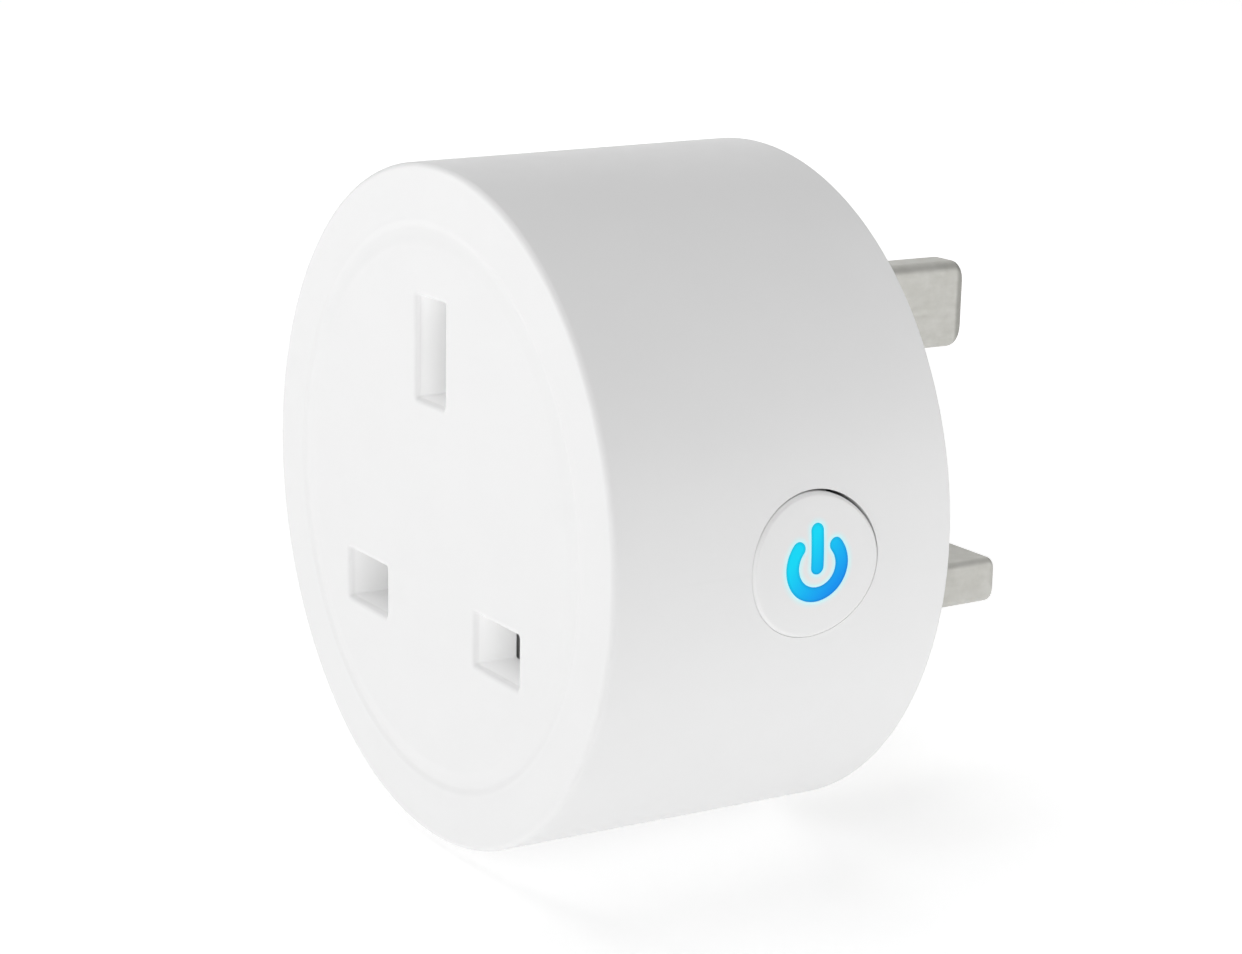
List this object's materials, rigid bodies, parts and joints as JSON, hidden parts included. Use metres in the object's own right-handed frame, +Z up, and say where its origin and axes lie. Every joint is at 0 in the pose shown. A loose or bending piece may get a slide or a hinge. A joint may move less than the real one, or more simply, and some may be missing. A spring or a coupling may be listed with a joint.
{
  "type": "smart plug",
  "caption": "Round white smart plug: a rectangular-pin mains plug on its back, a shuttered socket on its front, and a lit power button on its side.",
  "frame": {"origin": "centre of the rear face, which sits against the wall socket", "axes": "+Y out of the rear face along the plug pins, -Y out of the socket face, +Z up towards the earth pin, +X towards the live pin and the button"},
  "size_m": [0.058, 0.0541, 0.058],
  "materials": {
    "shell": "fine matte, white",
    "cover": "fine matte, white",
    "cap": "fine matte, white",
    "symbol": "translucent, lit from behind",
    "shutter": "matte, white",
    "carrier": "matte, off-white",
    "sleeve": "matte, black insulation",
    "pin_metal": "satin nickel plate on brass",
    "contact_metal": "tinned phosphor bronze",
    "spring_steel": "drawn wire",
    "screw_metal": "zinc plate",
    "laminate": "glass-epoxy board with solder mask",
    "relay_case": "moulded case",
    "capacitor_black": "shrink sleeve",
    "capacitor_blue": "shrink sleeve",
    "varistor_coat": "dipped epoxy",
    "ferrite": "ferrite drum with its winding",
    "resistor_coat": "flameproof coating",
    "chip_epoxy": "moulded epoxy",
    "radio_can": "tinned can",
    "switch_case": "moulded",
    "plunger": "moulded",
    "led": "clear resin on a white base"
  },
  "bodies": {
    "housing": {"front_housing": "shell", "rear_cover": "cover", "contact_carrier": "carrier", "live_sleeve": "sleeve", "neutral_sleeve": "sleeve", "earth_pin": "pin_metal", "live_pin": "pin_metal", "neutral_pin": "pin_metal", "earth_contact": "contact_metal", "live_contact": "contact_metal", "neutral_contact": "contact_metal", "shutter_spring": "spring_steel", "screw_top": "screw_metal", "screw_left": "screw_metal", "screw_right": "screw_metal", "main_board": "laminate", "wifi_board": "laminate", "button_board": "laminate", "relay": "relay_case", "bulk_capacitor": "capacitor_black", "output_capacitor": "capacitor_blue", "varistor": "varistor_coat", "choke": "ferrite", "fuse_resistor": "resistor_coat", "rectifier": "chip_epoxy", "regulator": "chip_epoxy", "wifi_shield": "radio_can", "tact_switch": "switch_case", "status_led_blue": "led", "status_led_red": "led"},
    "shutter": {"shutter": "shutter"},
    "button": {"button_cap": "cap", "light_guide": "symbol"},
    "plunger": {"tact_plunger": "plunger"}
  },
  "joints": [
    {"name": "shutter_slide", "type": "slide", "parent": "housing", "child": "shutter", "axis": [0, 0, -1], "range_m": [0, 0.0055], "stiffness_N_per_m": 60, "springref_m": -0.003, "deforming": ["shutter_spring"]},
    {"name": "button_press", "type": "slide", "parent": "housing", "child": "button", "axis": [-1, 0, 0], "range_m": [0, 0.0004], "stiffness_N_per_m": 4000, "springref_m": -0.0002},
    {"name": "plunger_press", "type": "slide", "parent": "housing", "child": "plunger", "axis": [-1, 0, 0], "range_m": [0, 0.0004]}
  ],
  "couplings": [
    {"joint": "plunger_press", "follows": "button_press", "ratio": 1}
  ]
}
